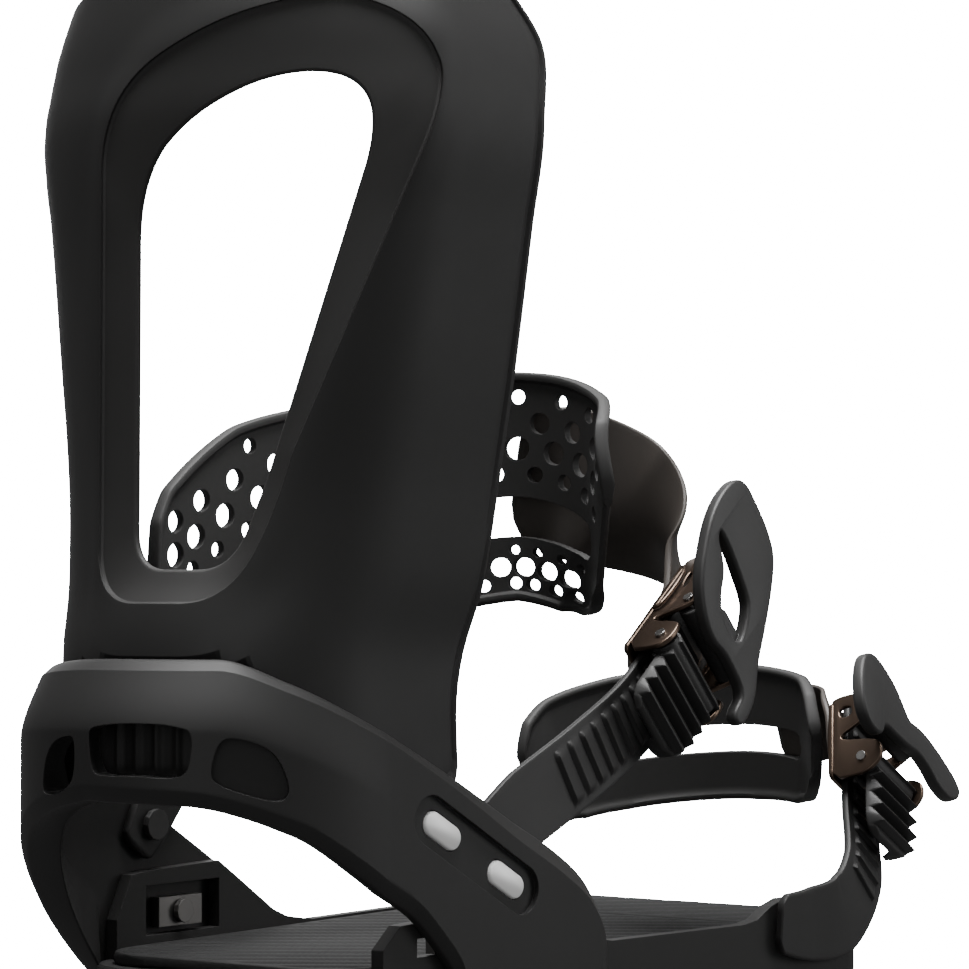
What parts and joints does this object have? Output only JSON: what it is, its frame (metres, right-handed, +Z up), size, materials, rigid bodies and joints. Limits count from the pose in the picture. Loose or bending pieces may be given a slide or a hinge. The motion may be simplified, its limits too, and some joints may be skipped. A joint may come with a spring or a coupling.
{
  "type": "snowboard binding",
  "caption": "Snowboard binding for the right foot: baseplate with disc, heel hoop, folding highback with a large window, ankle and toe straps with ratchet buckles.",
  "frame": {"origin": "centre of the mounting disc on the plane of the board, under the base", "axes": "+X to the toe, +Y to the inner side of the foot, +Z up from the board"},
  "size_m": [0.3284, 0.1502, 0.287],
  "materials": {
    "baseplate": "black moulded nylon, satin",
    "gasket": "soft black foam rubber",
    "disc": "black moulded nylon, satin",
    "disc_screw": "plain steel",
    "footbed": "ribbed soft rubber",
    "hoop": "black moulded nylon, fine grain",
    "clamp": "plain steel",
    "peg": "pale plastic, satin",
    "highback": "black moulded nylon, fine grain",
    "lean_block": "black moulded nylon",
    "hinge_pin": "plain steel",
    "ladder": "black flexible plastic, satin",
    "strap_pad": "black moulded elastomer, matt",
    "strap_band": "black flexible plastic, matt",
    "strap_bolt": "plain steel",
    "buckle_frame": "dark bronze coated metal",
    "buckle_lever": "black moulded nylon, satin",
    "buckle_pin": "bright steel"
  },
  "bodies": {
    "base": {"baseplate": "baseplate", "gasket_heel": "gasket", "gasket_toe": "gasket", "mounting_disc": "disc", "disc_screw_1": "disc_screw", "disc_screw_2": "disc_screw", "disc_screw_3": "disc_screw", "disc_screw_4": "disc_screw", "footbed_pad": "footbed", "toe_ramp_pad": "footbed", "heel_hoop": "hoop", "hoop_clamp_block_near": "clamp", "hoop_clamp_screw_near": "clamp", "hoop_clamp_block_far": "clamp", "hoop_clamp_screw_far": "clamp", "ladder_peg_1": "peg", "ladder_peg_2": "peg", "highback_hinge_pin_near": "hinge_pin", "highback_hinge_pin_far": "hinge_pin", "ankle_ladder": "ladder", "ankle_pad": "strap_pad", "ankle_far_strap": "strap_band", "ankle_far_bolt": "strap_bolt", "ankle_carrier": "strap_band", "ankle_buckle_frame": "buckle_frame", "ankle_frame_rivet": "buckle_pin", "ankle_ratchet_pin": "buckle_pin", "ankle_release_pin": "buckle_pin", "toe_bolt_near": "strap_bolt", "toe_bolt_far": "strap_bolt"},
    "highback": {"highback": "highback", "forward_lean_block": "lean_block"},
    "ankle_ratchet": {"ankle_ratchet_lever": "buckle_lever"},
    "ankle_release": {"ankle_release_lever": "buckle_lever"},
    "toe_strap": {"toe_pad": "strap_pad", "toe_far_strap": "strap_band", "toe_ladder": "ladder", "toe_carrier": "strap_band", "toe_buckle_frame": "buckle_frame", "toe_frame_rivet": "buckle_pin", "toe_ratchet_pin": "buckle_pin", "toe_release_pin": "buckle_pin"},
    "toe_ratchet": {"toe_ratchet_lever": "buckle_lever"},
    "toe_release": {"toe_release_lever": "buckle_lever"}
  },
  "joints": [
    {"name": "highback_fold", "type": "hinge", "parent": "base", "child": "highback", "pos_m": [-0.068, 0, 0.073], "axis": [0, 1, 0], "range_deg": [0, 15]},
    {"name": "ankle_ratchet_lift", "type": "hinge", "parent": "base", "child": "ankle_ratchet", "pos_m": [0.07295, -0.05978, 0.10566], "axis": [0.5976, -0.1203, -0.7927], "range_deg": [0, 60], "stiffness_Nm_per_rad": 0.06, "springref_deg": -20.05},
    {"name": "ankle_release_lift", "type": "hinge", "parent": "base", "child": "ankle_release", "pos_m": [0.05941, -0.05913, 0.09536], "axis": [-0.5976, 0.1203, 0.7927], "range_deg": [0, 15], "stiffness_Nm_per_rad": 0.06, "springref_deg": -20.05},
    {"name": "toe_strap_swing", "type": "hinge", "parent": "base", "child": "toe_strap", "pos_m": [0.111, 0, 0.022], "axis": [0, 1, 0], "range_deg": [-18, 3]},
    {"name": "toe_ratchet_lift", "type": "hinge", "parent": "toe_strap", "child": "toe_ratchet", "pos_m": [0.17584, -0.05795, 0.07566], "axis": [0.8728, -0.0006, -0.4881], "range_deg": [0, 60], "stiffness_Nm_per_rad": 0.06, "springref_deg": -20.05},
    {"name": "toe_release_lift", "type": "hinge", "parent": "toe_strap", "child": "toe_release", "pos_m": [0.16773, -0.06173, 0.06117], "axis": [-0.8728, 0.0006, 0.4881], "range_deg": [0, 15], "stiffness_Nm_per_rad": 0.06, "springref_deg": -20.05}
  ]
}
